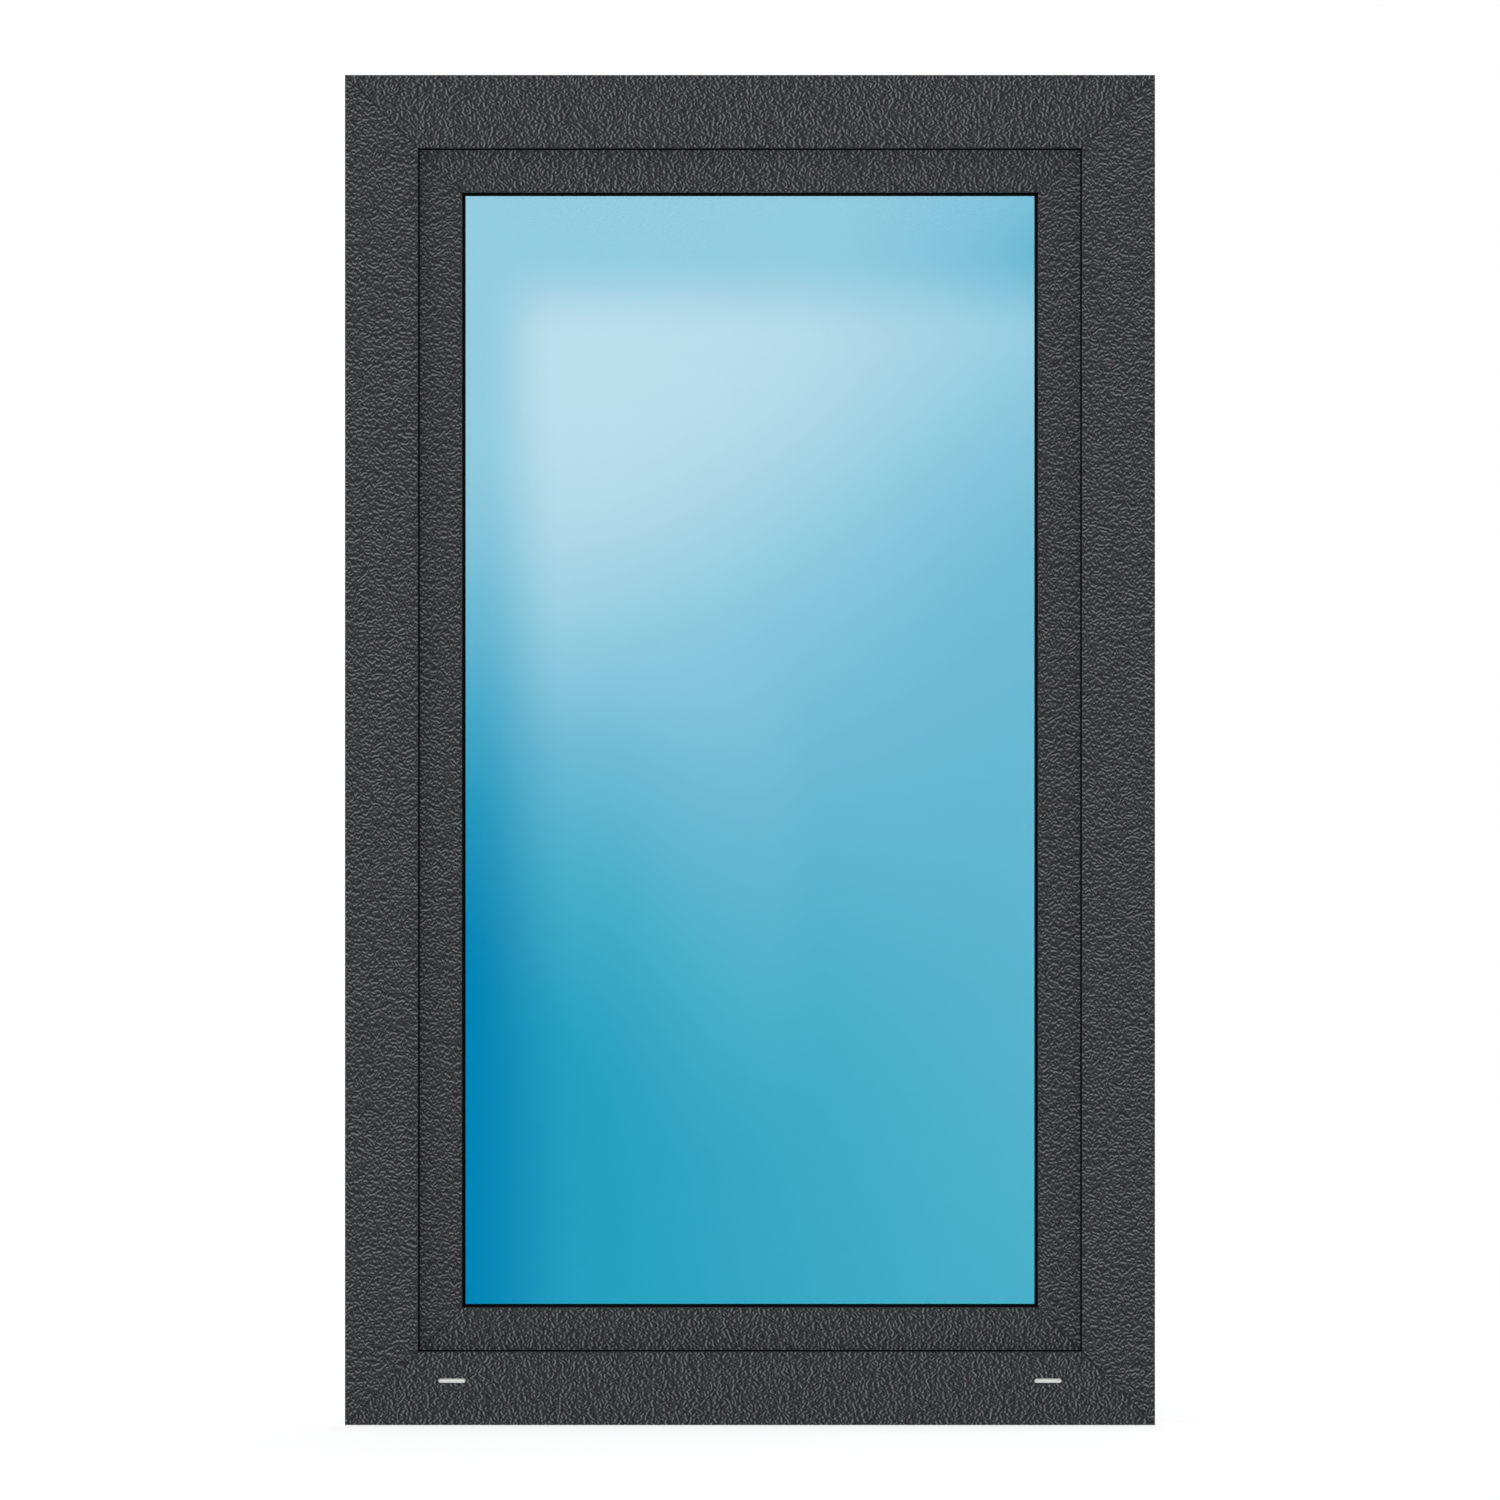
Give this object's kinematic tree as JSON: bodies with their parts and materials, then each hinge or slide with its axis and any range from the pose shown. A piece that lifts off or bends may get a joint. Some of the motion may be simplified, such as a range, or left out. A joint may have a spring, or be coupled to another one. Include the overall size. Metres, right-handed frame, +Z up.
{
  "type": "single-leaf plastic window",
  "caption": "Tall plastic window with a dark grained frame, a glazed opening sash, drain slots, gaskets, and a handle and hinges on the room side.",
  "frame": {"origin": "on the underside of the sill member, midway along it and midway through the depth of the outer frame", "axes": "+X to the right as seen from outside, +Y into the room, +Z up"},
  "size_m": [0.81, 0.1515, 1.35],
  "materials": {
    "grained_foil": "dark grey leather-grain foil over white plastic",
    "tinted_glass": "clear float glass that shows a blue sky gradient",
    "clear_glass": "clear float glass",
    "spacer_metal": "mill-finish spacer bar",
    "edge_sealant": "black edge sealant",
    "block_plastic": "plain setting block plastic",
    "gasket_rubber": "black sealing rubber",
    "handle_metal": "satin anodised aluminium",
    "hinge_metal": "silver powder coat",
    "pin_steel": "zinc-plated steel"
  },
  "bodies": {
    "root": {"frame_head": "grained_foil", "frame_sill": "grained_foil", "frame_jamb_left": "grained_foil", "frame_jamb_right": "grained_foil", "sash_top_rail": "grained_foil", "sash_bottom_rail": "grained_foil", "sash_stile_left": "grained_foil", "sash_stile_right": "grained_foil", "glazing_bead_top": "grained_foil", "glazing_bead_bottom": "grained_foil", "glazing_bead_left": "grained_foil", "glazing_bead_right": "grained_foil", "outer_pane": "tinted_glass", "inner_pane": "clear_glass", "spacer_bar": "spacer_metal", "edge_seal": "edge_sealant", "setting_blocks": "block_plastic", "frame_stop_gasket": "gasket_rubber", "sash_overlap_gasket": "gasket_rubber", "glazing_gasket": "gasket_rubber", "bead_gasket": "gasket_rubber", "handle_rosette": "handle_metal", "handle_lever": "handle_metal", "hinge_top_frame_leaf": "hinge_metal", "hinge_top_sash_leaf": "hinge_metal", "hinge_top_pin": "pin_steel", "hinge_bottom_frame_leaf": "hinge_metal", "hinge_bottom_sash_leaf": "hinge_metal", "hinge_bottom_pin": "pin_steel"}
  },
  "joints": []
}
